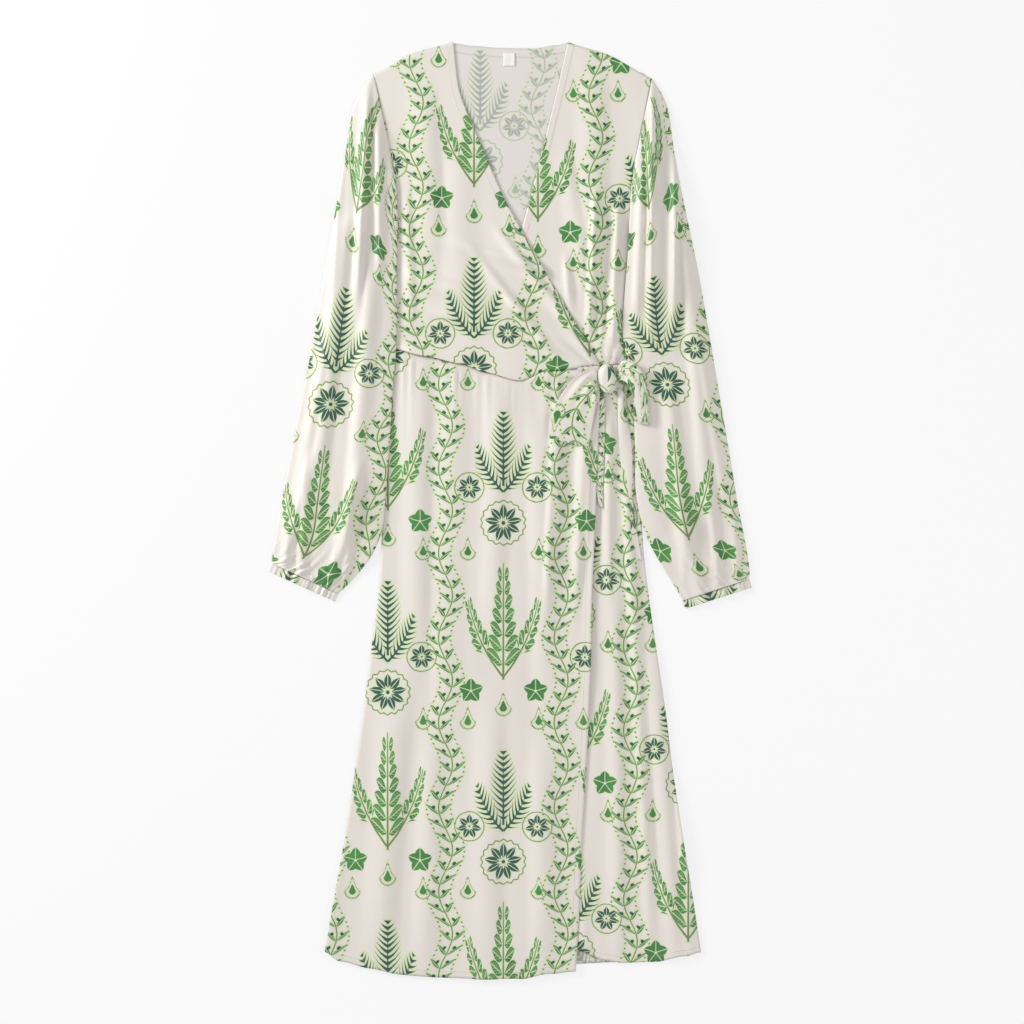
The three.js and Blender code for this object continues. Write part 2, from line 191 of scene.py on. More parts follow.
# %% A branch of leaves
def branch(x, y, length, leaf, pitch, bend=0.0, bare=0.6):
    """A branch of leaves in pairs. Returns its leaves, their midribs, their side veins and its stem.

    leaf is a leaf's length, pitch the distance between pairs, and bare how many pitches have none.
    """
    stem_x = x - y * y * bend
    beside = abs(stem_x)
    along = (y - beside * 0.95) * (1.0 / pitch)
    pair = along.math("ROUND")
    off = (along - pair) * (pitch * 0.72)
    size = 1.16 - pair * (pitch / length)
    tip = size.high(0.15) * leaf
    reach = (beside - 1.6) * 1.38 / tip
    blade = reach * (1.0 - reach) * (0.34 * pitch * 4)
    leaves = (abs(off) - blade).high(bare * pitch - y + beside).high(pair * pitch - length * 0.94)
    ribs = (abs(off) - 0.55).high(leaves + 1.2)
    veins = (abs((beside * 1.3 - abs(off) * 1.6).wrap(4.4)) - 0.8).high(leaves + 1.4)
    stem = (beside - (1.3 - y * (0.8 / length))).high(0.0 - y).high(y - length)
    return leaves, ribs, veins, stem


# %% A fern, a turn and a bud
def fern(x, y, length, width, bend, pitch):
    """A frond that stands on its base: a stem with curled leaflets on both sides."""
    along = y * (1.0 / length)
    stem_x = x - y * y * bend
    beside = abs(stem_x)
    spread = along * (1.1 - along) * (3.4 * width) + 1.0
    curl = y - beside * 0.5 - beside * beside * (0.45 / width)
    leaflet = abs(curl.wrap(pitch)) - (1.08 - beside / spread) * (0.3 * pitch)
    stem = beside - (1.0 - along) * 1.5
    shape = leaflet.high(beside - spread).low(stem)
    return shape.high(0.0 - y).high(y - length)


def turned(x, y, degrees):
    """The same point on axes turned clockwise."""
    cos, sin = math.cos(math.radians(degrees)), math.sin(math.radians(degrees))
    return x * cos - y * sin, x * sin + y * cos


def bud(x, y, radius):
    """A bud that hangs with its point up."""
    above = y.high(0.0)
    narrow = x * (above * (0.75 / radius) + 1.0)
    tall = y.low(0.0) + above * 0.55
    return (narrow * narrow + tall * tall).math("SQRT") - radius


# %% The print's colours and repeat
ivory = srgb(236, 229, 221)
halo = srgb(217, 229, 186)
line_green = srgb(122, 138, 96)
leaf_green = srgb(84, 150, 78)
young_green = srgb(176, 208, 142)
teal = srgb(56, 94, 84)
deep_green = srgb(66, 122, 74)
wrong_side_grey = srgb(226, 221, 219)
column_width = 150.0
repeat_height = 440.0
vine_wave = 110.0
vine_leaf_pitch = 18.3


def vine(s, t):
    """A trailing vine that winds down between two columns. Returns its leaves, berries and lines."""
    swing = (t * (2 * math.pi / vine_wave)).math("SINE") * 9.0
    arc = s.wrap(column_width, column_width / 2) - swing
    beside = abs(arc)
    leaf_y = (t - beside * 0.8).wrap(vine_leaf_pitch)
    leaf_x = beside - 8.0
    leaves = (leaf_x * leaf_x * (1 / 7.0) + leaf_y * leaf_y * 1.1).math("SQRT") - 2.6
    ribs = (abs(leaf_y) - 0.4).high(leaves + 0.5)
    berries, _ = polar(beside - 6.5, (t - 9.2).wrap(vine_leaf_pitch))
    dots, _ = polar(beside - 15.5, t.wrap(vine_leaf_pitch / 3))
    return {"leaves": leaves, "ribs": ribs, "berries": berries - 2.3, "lines": beside - 0.75,
            "dots": dots - 1.1}


# %% The print itself
def printed(tree, fade):
    """The print's colour on the cloth's own measure. fade is how far the wrong side pales."""
    root = Field(tree, None)
    measure = root.node("ShaderNodeUVMap", {"uv_map": "Cloth"})
    scaled = measure.node("ShaderNodeVectorMath", {"operation": "SCALE"}, {0: measure, "Scale": 1000.0})
    wobble = scaled.node("ShaderNodeTexNoise", None, {"Vector": scaled, "Scale": 0.09, "Detail": 2.0})
    s = scaled.node("ShaderNodeSeparateXYZ", None, {0: scaled}, 0)
    t = scaled.node("ShaderNodeSeparateXYZ", None, {0: scaled}, 1)
    column = (s * (1.0 / column_width)).math("ROUND")
    t = t + (wobble - 0.5) * 2.4
    shifted = t + column * (repeat_height / 2)
    x = s - column * column_width

    def below(centre_y):
        """The place up or down from a motif's centre, which comes once in each repeat."""
        return shifted.wrap(repeat_height, centre_y)

    # The large spray: an upright branch between two that lean out.
    spray_y = below(-4)
    tall = branch(x, spray_y + 78, length=152, leaf=27, pitch=19.0)
    lean_x, lean_y = turned(abs(x), spray_y + 74, degrees=40)
    leaning = branch(lean_x, lean_y, length=106, leaf=21, pitch=16.0, bend=-0.0026, bare=2.3)
    leaves, ribs, veins, stems = (a.low(b) for a, b in zip(tall, leaning))

    # Three ferns from one foot, in the dark green.
    fern_y = below(212)
    middle = fern(x, fern_y + 42, length=96, width=15, bend=0.0, pitch=7.8)
    side_x, side_y = turned(abs(x), fern_y + 50, degrees=46)
    ferns = middle.low(fern(side_x, side_y, length=66, width=12, bend=-0.0046, pitch=7.2))

    # Rosettes: a large one over the spray, and a pair of small ones beside the ferns.
    rose_y = below(122)
    rose, rose_side, rose_out = petals(x, rose_y, count=9, start=5.5, end=24, half_width=4.6)
    small, small_side, small_out = petals(abs(x) - 44, fern_y + 44, count=7, start=3.6, end=15.5,
                                          half_width=3.8)
    centres = (rose_out - 4.0).low(small_out - 2.8)
    petal_lines = (rose_side - 0.5).high(rose + 1.0).low((small_side - 0.4).high(small + 0.8))
    scallop = abs((x.math("ARCTAN2", rose_y) * 28.0).wrap(9.77)) * 0.55
    lace = abs(rose_out - 29.5 + scallop) - 0.7
    lace = lace.low(abs(small_out - 19.0) - 0.55)

    # Five-petalled green flowers and dotted buds fill the ground between.
    flower, flower_side, flower_out = petals(abs(x) - 42, spray_y + 92, count=5, start=1.5, end=16,
                                             half_width=7.4)
    flower = flower.low(abs(flower_out - 9.0) - 2.0 + flower_side * 0.2)
    bud_x, bud_y = abs(x) - 46, shifted.wrap(repeat_height / 2, 84)
    buds = bud(bud_x, bud_y, radius=4.6).low(bud(x, below(-118), radius=5.0))
    beads = (abs(buds - 5.0) - 0.9).high(abs((bud_x + bud_y).wrap(3.4)) - 1.1)

    winding = vine(s, t)
    greens = leaves.low(flower).low(buds).low(winding["leaves"])
    darks = ferns.low(rose).low(small).low(winding["berries"])
    fine = stems.low(lace).low(beads).low(winding["lines"]).low(winding["dots"])
    everything = greens.low(darks).low(fine + 0.8)

    colour = (everything - 2.0).inside(1.4).over(ivory, halo)
    colour = fine.inside(0.6).over(colour, line_green)
    wash = scaled.node("ShaderNodeTexNoise", None, {"Vector": scaled, "Scale": 0.03, "Detail": 1.0})
    green = wash.math("MULTIPLY_ADD", 2.6, -0.8, clamp=True).over(leaf_green, deep_green)
    colour = greens.inside().over(colour, green)
    colour = (veins.inside(0.8) * 0.6).over(colour, young_green)
    colour = ribs.low(winding["ribs"]).inside(0.6).over(colour, halo)
    colour = (flower_side - 0.5).high(flower + 0.6).inside().over(colour, halo)
    colour = darks.inside().over(colour, teal)
    colour = petal_lines.low(centres).inside().over(colour, halo)
    colour = (centres + 1.6).inside().over(colour, teal)
    if fade:
        colour = root.mixed(fade, colour, wrong_side_grey)
    return colour, scaled


# %% [markdown]
# ## The satin
# Satin viscose has a fine, smooth face with a soft sheen. Its free edges are turned in once and stitched:
# the neck, the wrap edge and the hem. The turned edge could be modelled, but it stands only 0.3 mm high,
# so bump draws it, from the distance to the edge that each panel keeps as an attribute.

# %% The satin's two sides
fold_of_hem = 10.0      # added to every hem distance, so that a piece with no hem reads nought
past_all_hems = 1000.0
hem_depth = 9.0
stitch_depth = 8.0
stitch_pitch = 3.4
thread = srgb(196, 190, 176)


def satin(name, fade=0.0, roughness=0.5):
    """The printed satin: its colour, its fine weave as bump, and a soft sheen."""
    material = bpy.data.materials.new(name)
    material.use_nodes = True
    tree = material.node_tree
    shader = tree.nodes["Principled BSDF"]
    colour, scaled = printed(tree, fade)
    weave = scaled.node("ShaderNodeTexNoise", None, {"Vector": scaled, "Scale": 1.4, "Detail": 2.0})
    hem = scaled.node("ShaderNodeAttribute", {"attribute_name": "hem"}, None, 2) - fold_of_hem
    unhemmed = hem.math("LESS_THAN", -fold_of_hem / 2)
    hemmed = (hem + unhemmed * past_all_hems - hem_depth).inside(1.2)
    run = scaled.node("ShaderNodeVectorMath", {"operation": "DOT_PRODUCT"}, {0: scaled, 1: (1, 1, 0)}, 1)
    stitch = (abs(hem - stitch_depth) - 0.35).high(abs(run.wrap(stitch_pitch)) - 1.15).inside(0.4)
    colour = (stitch * 0.55).over(colour, thread)
    relief = weave * 0.12 + hemmed * 0.8 - stitch * 0.9
    bump = relief.node("ShaderNodeBump", None, {"Height": relief, "Strength": 0.6, "Distance": 0.0006})
    tree.links.new(colour.socket, shader.inputs["Base Color"])
    tree.links.new(bump.socket, shader.inputs["Normal"])
    shader.inputs["Roughness"].default_value = roughness
    shader.inputs["Specular IOR Level"].default_value = 0.42
    shader.inputs["Sheen Weight"].default_value = 0.12
    shader.inputs["Sheen Roughness"].default_value = 0.4
    return material


right_side = satin("satin right side", roughness=0.44)
wrong_side = satin("satin wrong side", fade=0.55, roughness=0.62)
print("print nodes", len(right_side.node_tree.nodes))

# %% [markdown]
# ## The cut
# A panel is held between two side edges, each a smooth curve through a few points, and its shoulder,
# waist and hem leave the straight by a small table. The cut is the solid model's, so each panel of cloth
# lies where its solid does; only the sleeves tuck a few millimetres further in at the armhole. The tables
# are in mm.

# %% Curves and tables of the cut
def smooth_curve(points):
    """A centripetal Catmull-Rom curve through points, read at shares of its rows."""
    points = np.array(points, float)
    first, last = 2 * points[0] - points[1], 2 * points[-1] - points[-2]
    padded = np.vstack([first, points, last])

    def at(share):
        place = np.clip(np.asarray(share, float), 0, 1) * (len(points) - 1)
        piece = np.minimum(place.astype(int), len(points) - 2)
        part = (place - piece)[..., None]
        p0, p1, p2, p3 = (padded[piece + k] for k in range(4))
        before, here, after = (np.linalg.norm(b - a, axis=-1, keepdims=True) ** 0.5
                               for a, b in ((p0, p1), (p1, p2), (p2, p3)))
        into = ((p1 - p0) / before - (p2 - p0) / (before + here) + (p2 - p1) / here) * here
        away = ((p2 - p1) / here - (p3 - p1) / (here + after) + (p3 - p2) / after) * here
        cubic = 2 * p1 - 2 * p2 + into + away
        square = -3 * p1 + 3 * p2 - 2 * into - away
        return ((cubic * part + square) * part + into) * part + p1
    return at


def eased(table):
    """A table of (at, off) read smoothly between its rows."""
    places, values = np.array(table, float).T

    def at(share):
        share = np.clip(share, 0, 1)
        row = np.clip(np.searchsorted(places, share, side="right") - 1, 0, len(places) - 2)
        part = (share - places[row]) / (places[row + 1] - places[row])
        part = part * part * (3 - 2 * part)
        return values[row] + (values[row + 1] - values[row]) * part
    return at


def smooth_step(low, high, value):
    """0 below low, 1 above high, and a soft rise between them."""
    share = np.clip((value - low) / (high - low), 0, 1)
    return share * share * (3 - 2 * share)


# %% The cut's tables, (x, y) down each edge or (at, off) along it
body_left = [(-178, 565), (-165.5, 503), (-155, 450), (-151, 413), (-170, 378), (-205, 340), (-192, 290),
             (-176, 248), (-164, 211)]
body_right = [(183, 559), (171, 500), (162, 452), (157, 413), (174, 380), (207, 340), (194, 290),
              (180, 244), (168, 190)]
over_edge = [(-75, 607), (-67, 543), (-51, 502), (-31, 454), (-9, 404), (15, 360), (43, 311), (79, 250),
             (116, 186)]
under_edge = [(74, 607), (60, 545), (47, 492), (36, 448), (26, 409), (13, 362), (-8, 305), (-30, 250),
              (-52, 192)]
skirt_left = [(-164, 211), (-168, 130), (-169, 50), (-168, -30), (-171, -100), (-180, -170), (-190, -250),
              (-202, -335), (-214, -415), (-228, -495), (-242, -575)]
skirt_right = [(168, 190), (167, 110), (168, 30), (172, -50), (180, -120), (190, -190), (201, -265),
               (211, -345), (223, -425), (236, -505), (247, -576)]
wrap_edge = [(116, 186), (114, 110), (111, 30), (108, -50), (105, -120), (104, -190), (101, -270),
             (97, -350), (92, -435), (89, -520), (84, -601)]
under_skirt_edge = [(-52, 192)] + [(-50, y + 4) for _, y in skirt_right[1:]]
back_top = [(0, 0), (0.14, 27), (0.23, 37), (0.285, 42), (0.36, 39), (0.45, 37), (0.57, 37), (0.66, 42),
            (0.7, 45), (0.79, 33), (0.88, 20), (0.96, 8), (1, 0)]
shoulder_rise = [(0, 0), (0.5, 6), (1, 0)]
back_waist = [(0, 0), (0.5, -12), (1, 0)]
under_waist = [(0, 0), (0.6, -8), (1, 0)]
over_waist = [(0, 0), (0.19, -8), (0.36, -14), (0.47, -22), (0.62, -29), (0.76, -13), (1, 0)]
back_hem = [(0, 0), (0.15, -14), (0.45, -22), (0.8, -13), (1, 0)]
over_hem = [(0, 0), (0.06, -11), (0.18, -17), (0.3, -22), (0.42, -22), (0.6, -20), (0.78, -15), (0.9, -5),
            (1, 0)]
under_hem = [(0, 0), (0.46, 0), (0.59, -12), (0.66, -15), (0.8, -13), (0.93, -5), (1, 0)]

print("skirt side", len(skirt_left), "points, hem", skirt_right[-1][0] - skirt_left[-1][0], "mm across")

# %% [markdown]
# ## Folds
# A fold is a ridge along a line: so wide, so high, and leaning to one side where the cloth has slid.
# Gathers are rows of small uneven pleats that fade away from the seam that holds them.

# %% Ridges and gathers
def ridges(x, y, rows):
    """The height of a list of folds, each (x0, y0, x1, y1, half width, height, lean), in mm."""
    height = np.zeros_like(x)
    for x0, y0, x1, y1, half_width, tall, lean in rows:
        run_x, run_y = x1 - x0, y1 - y0
        length = math.hypot(run_x, run_y)
        along = ((x - x0) * run_x + (y - y0) * run_y) / length
        side = ((x - x0) * run_y - (y - y0) * run_x) / length / half_width
        side = side + lean * 0.45 * (1 - side * side)
        reach = smooth_step(-0.12 * length, 0.22 * length, along)
        reach = reach * (1 - smooth_step(0.72 * length, 1.1 * length, along))
        height += tall * reach * np.clip(1 - side * side, 0, None) ** 2 * (np.abs(side) < 1)
    return height


def gathers(along, away, pitch, reach, tall, start=0.0):
    """Uneven pleats side by side along a seam. away is the distance from the seam."""
    turn = along / pitch + 0.8 * np.sin(along / (2.3 * pitch) + start)
    turn = turn + 0.35 * np.sin(along / (0.9 * pitch))
    pleat = (0.5 + 0.5 * np.cos(2 * math.pi * turn)) ** 1.4
    uneven = 0.65 + 0.35 * np.sin(1.7 * np.floor(turn + 0.5) + start)
    fade = np.exp(-np.clip(away, 0, None) / (reach * uneven))
    return tall * pleat * uneven * fade


def ripple(x, y, tall):
    """The slight unevenness of cloth that lies flat."""
    wave = np.sin(x / 19 + 1.3 * np.sin(y / 71)) * np.sin(y / 83 + 0.8 * np.sin(x / 37))
    fine = np.sin(x / 8.3 + y / 61 + 2 * np.sin(y / 97)) * np.sin(y / 47 + x / 53)
    return tall * (0.9 + 0.9 * wave + 0.45 * fine)


# %% [markdown]
# ## Making a panel
# bmesh makes a square grid, and the panel's own function says where each point of it goes. A UV map
# named Cloth keeps every point's place on the flat cloth in metres, so that the print follows the
# cloth over its folds. A Solidify modifier then gives the wall its thickness, with the wrong side of
# the satin on the inner face.

# %% Grid to cloth
cloth_thickness = 0.7
body = "root"


def cloth_piece(name, slot, columns, rows, place, thickness=cloth_thickness, offset=0.0, round_tube=False,
                flip=False, materials=None):
    """A grid of cloth that stands for the solid of the same name.

    place(u, v) takes arrays from 0 to 1, and gives x, y, z, the place on the cloth, s and t, and for a
    panel the distance to its hemmed edges, all in mm.
    """
    mesh = bpy.data.meshes.new(f"{name}_cloth")
    shape = bmesh.new()
    bmesh.ops.create_grid(shape, x_segments=columns, y_segments=rows, size=0.5)
    shape.verts.ensure_lookup_table()
    u = np.array([vertex.co.x + 0.5 for vertex in shape.verts])
    v = np.array([0.5 - vertex.co.y for vertex in shape.verts])
    x, y, z, s, t, *sewn = place(u, v)
    cloth_map = shape.loops.layers.uv.new("Cloth")
    for face in shape.faces:
        face.smooth = True
        for loop in face.loops:
            number = loop.vert.index
            loop[cloth_map].uv = (s[number] * mm, t[number] * mm)
    for vertex, *spot in zip(shape.verts, x, y, z):
        vertex.co = [value * mm for value in spot]
    if round_tube:
        bmesh.ops.remove_doubles(shape, verts=shape.verts, dist=0.00002)
    if flip:
        bmesh.ops.reverse_faces(shape, faces=shape.faces)
    shape.to_mesh(mesh)
    shape.free()
    if sewn:
        mesh.attributes.new("hem", "FLOAT", "POINT").data.foreach_set("value", sewn[0] + fold_of_hem)
    piece = bpy.data.objects.new(f"{name}_cloth", mesh)
    bpy.context.scene.collection.objects.link(piece)
    for material in materials or (right_side, wrong_side):
        mesh.materials.append(material)
    wall = piece.modifiers.new("wall", "SOLIDIFY")
    wall.thickness = thickness * mm
    wall.offset = offset
    wall.material_offset = 1
    wall.material_offset_rim = 0
    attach(piece, body)
    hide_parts(name)
    print(piece.name, len(mesh.polygons), "faces")
    return piece


# %% A body panel
def flat_panel(name, left, right, top_off, bottom_off, height, hemmed, grain=(0.0, 0.0), drop=0.0,
               pitch=4.0, **options):
    """A body panel between two side edges; height(x, y, v) is how far it stands off the floor."""
    left_edge, right_edge = smooth_curve(left), smooth_curve(right)
    top, bottom = eased(top_off), eased(bottom_off)
    tall = max(abs(left[0][1] - left[-1][1]), abs(right[0][1] - right[-1][1]))
    wide = max(abs(b[0] - a[0]) for a, b in zip(left, right))
    distances = {
        "hem": lambda u, v, width: (1 - v) * tall,
        "neck": lambda u, v, width: v * tall,
        "left": lambda u, v, width: u * width,
        "right": lambda u, v, width: (1 - u) * width,
    }

    def place(u, v):
        start, end = left_edge(v), right_edge(v)
        x = start[:, 0] + (end[:, 0] - start[:, 0]) * u
        y = start[:, 1] + (end[:, 1] - start[:, 1]) * u
        y = y + (1 - v) * (top(u) - drop) + v * bottom(u)
        width = end[:, 0] - start[:, 0]
        hem = np.min([distances[edge](u, v, width) for edge in hemmed], axis=0)
        return x, y, height(x, y, v), x + grain[0], y + grain[1], hem
    columns, rows = round(wide / pitch), round(tall / pitch)
    return cloth_piece(name, "printed_satin", columns, rows, place, **options)


# %% [markdown]
# ## The back
# The back lies face down on the floor, so its wrong side shows inside the V of the neck, paler than the
# right side. It carries the rest of the dress and lies flat.

# %% Back bodice and back skirt
layer = 1.5             # from one layer's under face to the next
wall = 1.2
back_middle = wall / 2
under_level = layer + wall / 2
waist_gap = 0.3
back_grain = (40, 110)


def back_height(x, y, v):
    return back_middle + ripple(x, y, 0.25)


back_bodice = flat_panel("back_bodice", body_left, body_right, back_top, back_waist,
                         back_height, ["neck"], grain=back_grain, flip=True)
back_skirt = flat_panel("back_skirt", skirt_left, skirt_right, back_waist, back_hem,
                        lambda x, y, v: back_middle + 0 * x, ["hem"], drop=waist_gap,
                        grain=back_grain, flip=True, pitch=5)

# %% [markdown]
# ## The fronts
# Four panels cross in front. The under ones come first and lie flat where the over ones hide them. The
# cloth is drawn to the knot of the tie, so folds run to it from the bodice and fall away from it below.

# %% Pleats that the knot draws in
knot_x, knot_y = 125.0, 169.0


def drawn_to_knot(x, y, turns, tall, near, far, start):
    """Pleats that run in to the knot like spokes, high near it and gone at the distance far."""
    out = np.hypot(x - knot_x, y - knot_y)
    angle = np.arctan2(y - knot_y, x - knot_x)
    spokes = (0.5 + 0.5 * np.cos(turns * angle + 0.6 * np.sin(3 * angle) + start)) ** 1.5
    return tall * spokes * smooth_step(4, near, out) * (1 - smooth_step(near, far, out))


# %% The bodices' folds
over_bodice_folds = [
    (-118, 545, -104, 320, 26, 4.0, 0.3),
    (-60, 470, -66, 250, 30, 3.2, -0.3),
    (-135, 300, 70, 232, 20, 5.6, 0.5),
    (-110, 262, 84, 204, 12, 4.4, -0.3),
    (-20, 360, 92, 218, 10, 5.0, 0.6),
    (-140, 420, -132, 240, 12, 3.0, 0.5),
]
under_bodice_folds = [
    (104, 560, 108, 300, 26, 3.8, 0.2),
    (66, 470, 98, 250, 16, 3.0, 0.5),
    (136, 400, 127, 205, 10, 9.0, 0.95),
    (150, 330, 134, 205, 8, 5.0, -0.5),
    (108, 330, 118, 205, 8, 5.4, 0.5),
]


# %% Front bodices
climb = (-42, -8)       # where an over panel climbs onto the one below, from its hidden edge


def on_under(x, hidden_x):
    """The over panels climb from the back onto the hidden edge of the under panels."""
    return under_level + layer * smooth_step(hidden_x + climb[0], hidden_x + climb[1], x)


def edge_x(points, steps):
    """The x of a front edge at any y."""
    line = smooth_curve(points)(np.linspace(0, 1, steps))[::-1]
    return lambda y: np.interp(y, line[:, 1], line[:, 0])


hidden_bodice_x = edge_x(under_edge, 80)
seen_bodice_x = edge_x(over_edge, 80)
seen_skirt_x = edge_x(wrap_edge, 60)


def over_bodice_height(x, y, v):
    """The over bodice is quiet beside the armhole, where the sleeve lies on it."""
    quiet = smooth_step(-150, -128, x)
    folds = ridges(x, y, over_bodice_folds) + ripple(x, y, 0.6)
    folds = folds + drawn_to_knot(x, y, 22, 4.0, 34, 120, 0.4)
    return on_under(x, hidden_bodice_x(y)) + folds * quiet


def under_bodice_height(x, y, v):
    """The under bodice is flat where the over one hides it."""
    seen = smooth_step(-4, 16, x - seen_bodice_x(y))
    quiet = 1 - smooth_step(138, 150, x) * smooth_step(452, 440, y)
    folds = ridges(x, y, under_bodice_folds) + ripple(x, y, 0.6)
    folds = folds + drawn_to_knot(x, y, 20, 3.4, 30, 100, 1.0)
    return under_level + folds * seen * quiet


front_bodice_under = flat_panel("front_bodice_under", under_edge, body_right, shoulder_rise, under_waist,
                                under_bodice_height, ["left"], grain=(115, 205), pitch=3.2)
front_bodice_over = flat_panel("front_bodice_over", body_left, over_edge, shoulder_rise, over_waist,
                               over_bodice_height, ["right"], grain=(48, -60), pitch=3.2)

# %% The skirts' folds
over_skirt_folds = [
    (-122, 190, -128, -220, 24, 4.0, 0.3),
    (-72, 180, -84, -300, 26, 3.6, -0.3),
    (-18, 165, -26, -180, 22, 4.2, 0.2),
    (40, 120, 50, -260, 26, 4.6, -0.4),
    (92, 140, 80, -140, 11, 5.6, 0.8),
    (66, 150, 62, -60, 9, 4.4, -0.6),
    (-150, -230, -176, -600, 30, 5.5, 0.3),
    (-98, -280, -112, -610, 24, 4.0, -0.2),
    (-30, -240, -34, -610, 28, 4.6, 0.3),
    (44, -300, 46, -610, 26, 5.2, -0.3),
]
under_skirt_folds = [
    (131, -80, 138, -600, 16, 5.0, 0.4),
    (152, 60, 186, -600, 12, 6.0, -0.6),
    (182, -200, 214, -600, 16, 5.5, 0.3),
    (126, 130, 124, -120, 10, 4.5, 0.5),
]


# %% Front skirts
hidden_skirt_x = -51


def over_skirt_height(x, y, v):
    """The over skirt is gathered a little at the waist, and quiet where the sleeve lies on its side."""
    quiet = 1 - (1 - smooth_step(-158, -140, x)) * smooth_step(-70, -30, y)
    folds = ridges(x, y, over_skirt_folds) + ripple(x, y, 0.8)
    folds = folds + gathers(x, 180 - y, 12, 46, 3.0, 0.7) * smooth_step(0, 0.02, v)
    folds = folds + drawn_to_knot(x, y, 22, 3.4, 34, 110, 2.0)
    return on_under(x, hidden_skirt_x) + folds * quiet


def under_skirt_height(x, y, v):
    """The under skirt is flat where the over one hides it."""
    seen = smooth_step(-6, 14, x - seen_skirt_x(y))
    quiet = 1 - smooth_step(150, 162, x) * smooth_step(-60, -20, y)
    folds = ridges(x, y, under_skirt_folds) + ripple(x, y, 0.8)
    return under_level + folds * seen * quiet


front_skirt_under = flat_panel("front_skirt_under", under_skirt_edge, skirt_right, under_waist, under_hem,
                               under_skirt_height, ["hem"], drop=waist_gap, grain=(70, 40), pitch=3.6)
front_skirt_over = flat_panel("front_skirt_over", skirt_left, wrap_edge, over_waist, over_hem,
                              over_skirt_height, ["hem", "right"], drop=waist_gap,
                              grain=(10, 140), pitch=3.6)

# %% [markdown]
# ## The sleeves
# A bishop sleeve is one piece, closed to a tube and gathered into elastic at the wrist. It lies beside the
# body and its inner side rests on the body's edge. The grid goes once round the tube: over the top from
# the inner fold to the outer one, and back beneath.

# %% Sections down the sleeves: outer x, y and inner x, y
left_sleeve_rows = [
    (-178.5, 566, -154, 452), (-203, 526, -149, 420), (-214, 470, -147, 375), (-227, 395, -148, 320),
    (-241, 315, -148, 262), (-254, 237, -149, 210), (-269, 158, -154, 145), (-285, 77, -158, 80),
    (-299, 5, -163, 14), (-305, -32, -168, -30), (-309, -54, -182, -62), (-310.5, -66, -204, -90),
    (-310, -71, -224, -110),
]
right_sleeve_rows = [
    (183.5, 560, 161.5, 454), (202, 526, 156.5, 421), (212, 466, 154, 380), (226, 392, 151, 325),
    (243, 311, 147, 275), (256, 237, 145, 228), (269, 160, 157, 160), (283, 78, 161, 82),
    (295, 5, 163, 14), (304, -40, 176, -36), (308, -64, 194, -70), (310, -80, 211, -98),
    (309.5, -91, 223, -119),
]
# %% The sleeves' folds
left_sleeve_folds = [
    (-190, 545, -204, 250, 11, 9.0, 0.95),
    (-170, 500, -168, 300, 10, 6.0, -0.5),
    (-216, 400, -262, -20, 18, 7.0, 0.5),
    (-176, 320, -206, -40, 18, 6.4, -0.5),
    (-238, 250, -290, -40, 12, 5.0, 0.5),
    (-196, 60, -236, -98, 11, 6.2, 0.4),
    (-262, 40, -272, -90, 10, 6.0, -0.4),
    (-290, 20, -296, -80, 9, 4.6, 0.3),
]
right_sleeve_folds = [
    (187, 545, 184, 215, 10, 10.0, -0.95),
    (168, 440, 160, 230, 9, 5.0, 0.4),
    (226, 400, 262, -20, 18, 7.0, -0.5),
    (196, 180, 226, -60, 17, 6.4, 0.5),
    (246, 240, 288, -40, 12, 5.0, -0.5),
    (208, 20, 246, -112, 11, 6.4, 0.4),
    (256, 40, 272, -104, 10, 6.2, -0.4),
    (286, 20, 294, -92, 9, 4.6, 0.3),
]

# %% What a sleeve lies on
sleeve_seat = 3.3
sleeve_climb = (-38, -9)
armhole = (420, 450)    # above this the sleeve is sewn in, and comes down to the floor


def side_line(side):
    """The body's side from the armhole to the hem, with its y rising."""
    bodice = smooth_curve(body_left if side < 0 else body_right)(np.linspace(0.3, 1, 50))
    skirt = smooth_curve(skirt_left if side < 0 else skirt_right)(np.linspace(0.02, 1, 60))
    return np.vstack([bodice, skirt])[::-1]


def seat_height(side, x, y):
    """What the sleeve lies on: the floor outside the body, and the body's edge below the armhole."""
    line = side_line(side)
    widest = np.max([side * np.interp(y + step, line[:, 1], line[:, 0]) for step in (-18, 0, 18)], axis=0)
    inside = smooth_step(*sleeve_climb, widest - side * x)
    return sleeve_seat * inside * (1 - smooth_step(*armhole, y))


# %% Sleeve tubes
def two_edges(rows):
    """The smooth curves down both sides of a table of sections."""
    return (smooth_curve([row[:2] for row in rows]), smooth_curve([row[2:] for row in rows]))


def middle_of(row):
    return (np.array(row[:2]) + np.array(row[2:])) / 2


tube_floor = 0.35
tube_edge = 1.0         # height of the folded edges over the tube's floor
tube_under = 0.9        # how far the under layer rises to them
tube_top = 1.5          # height of the upper layer before its loft and folds
edge_share = 1e-6       # grid points this near an edge are on it


